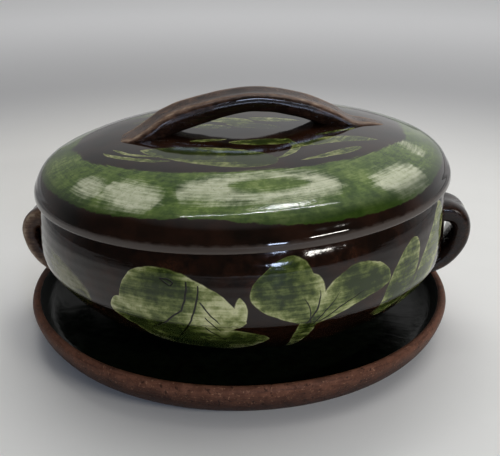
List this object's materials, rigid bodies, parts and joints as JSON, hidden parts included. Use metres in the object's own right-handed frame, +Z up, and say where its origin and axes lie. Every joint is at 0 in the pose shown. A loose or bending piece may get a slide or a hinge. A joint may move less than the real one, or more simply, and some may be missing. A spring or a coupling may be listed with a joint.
{
  "type": "lidded earthenware cooking pot",
  "caption": "Round earthenware casserole with ear handles and a low domed lid with an arched strap, standing in a shallow terracotta platter; the lid and the pot lift off.",
  "frame": {"origin": "on the pot's axis, at the level that the platter stands on", "axes": "+Z up, +X through the ear handles towards the right, +Y away from the front"},
  "size_m": [0.3261, 0.303, 0.1688],
  "materials": {
    "terracotta": "bare fired clay, dark glaze inside",
    "pot_glaze": "dark brown clear glaze over green painted slip",
    "handle_glaze": "dark brown clear glaze, worn to tan on the ridges",
    "lid_glaze": "mottled green glaze with a dark brown disc and edge band"
  },
  "bodies": {
    "platter": {"serving_platter": "terracotta"},
    "pot": {"pot_bowl": "pot_glaze", "pot_handle_left": "handle_glaze", "pot_handle_right": "handle_glaze"},
    "lid": {"lid_shell": "lid_glaze", "lid_handle": "handle_glaze"}
  },
  "joints": [
    {"name": "pot_lift", "type": "slide", "parent": "platter", "child": "pot", "axis": [0, 0, 1], "range_m": [0, 0.1]},
    {"name": "lid_lift", "type": "slide", "parent": "pot", "child": "lid", "axis": [0, 0, 1], "range_m": [0, 0.12]}
  ]
}
